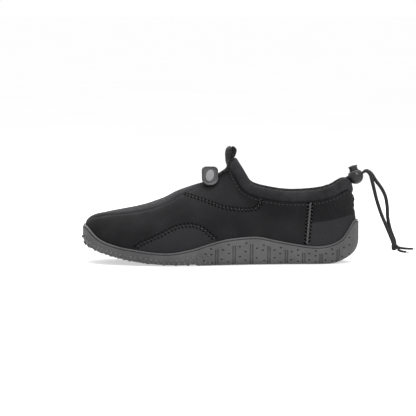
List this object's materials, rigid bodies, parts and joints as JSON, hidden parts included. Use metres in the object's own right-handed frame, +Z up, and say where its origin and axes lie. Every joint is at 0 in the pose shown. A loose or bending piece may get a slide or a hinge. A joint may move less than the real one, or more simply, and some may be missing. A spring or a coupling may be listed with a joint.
{
  "type": "water shoe",
  "caption": "Slip-on water shoe with a stretch upper, rolled drawcord collar with cord lock, pull loop and a grooved, studded rubber cup sole",
  "frame": {"origin": "on the floor under the middle of the shoe's box, without its drawcord", "axes": "+Z up, -X to the toe, +X to the heel, -Y to the outer side of the foot"},
  "size_m": [0.3306, 0.0989, 0.1149],
  "materials": {
    "sole_rubber": "matt mid-grey moulded rubber",
    "insole_cloth": "dark cloth over thin foam",
    "neoprene": "black neoprene faced with fine jersey",
    "cuff_knit": "black smooth stretch binding",
    "badge_rubber": "light grey moulded rubber",
    "webbing": "black narrow webbing",
    "lock_plastic": "black moulded plastic with a soft shine",
    "elastic": "black braided round elastic"
  },
  "bodies": {
    "shoe": {"outsole": "sole_rubber", "insole": "insole_cloth", "upper": "neoprene", "collar_cuff": "cuff_knit", "badge": "badge_rubber", "pull_loop": "webbing", "lock_barrel": "lock_plastic", "drawcord_strand_1": "elastic", "drawcord_strand_2": "elastic", "drawcord_knot": "elastic", "drawcord_end_1": "elastic", "drawcord_end_2": "elastic"},
    "plunger": {"lock_plunger": "lock_plastic"}
  },
  "joints": [
    {"name": "lock_press", "type": "slide", "parent": "shoe", "child": "plunger", "axis": [0.2924, 0, -0.9563], "range_m": [0, 0.003], "stiffness_N_per_m": 250, "springref_m": -0.002}
  ]
}
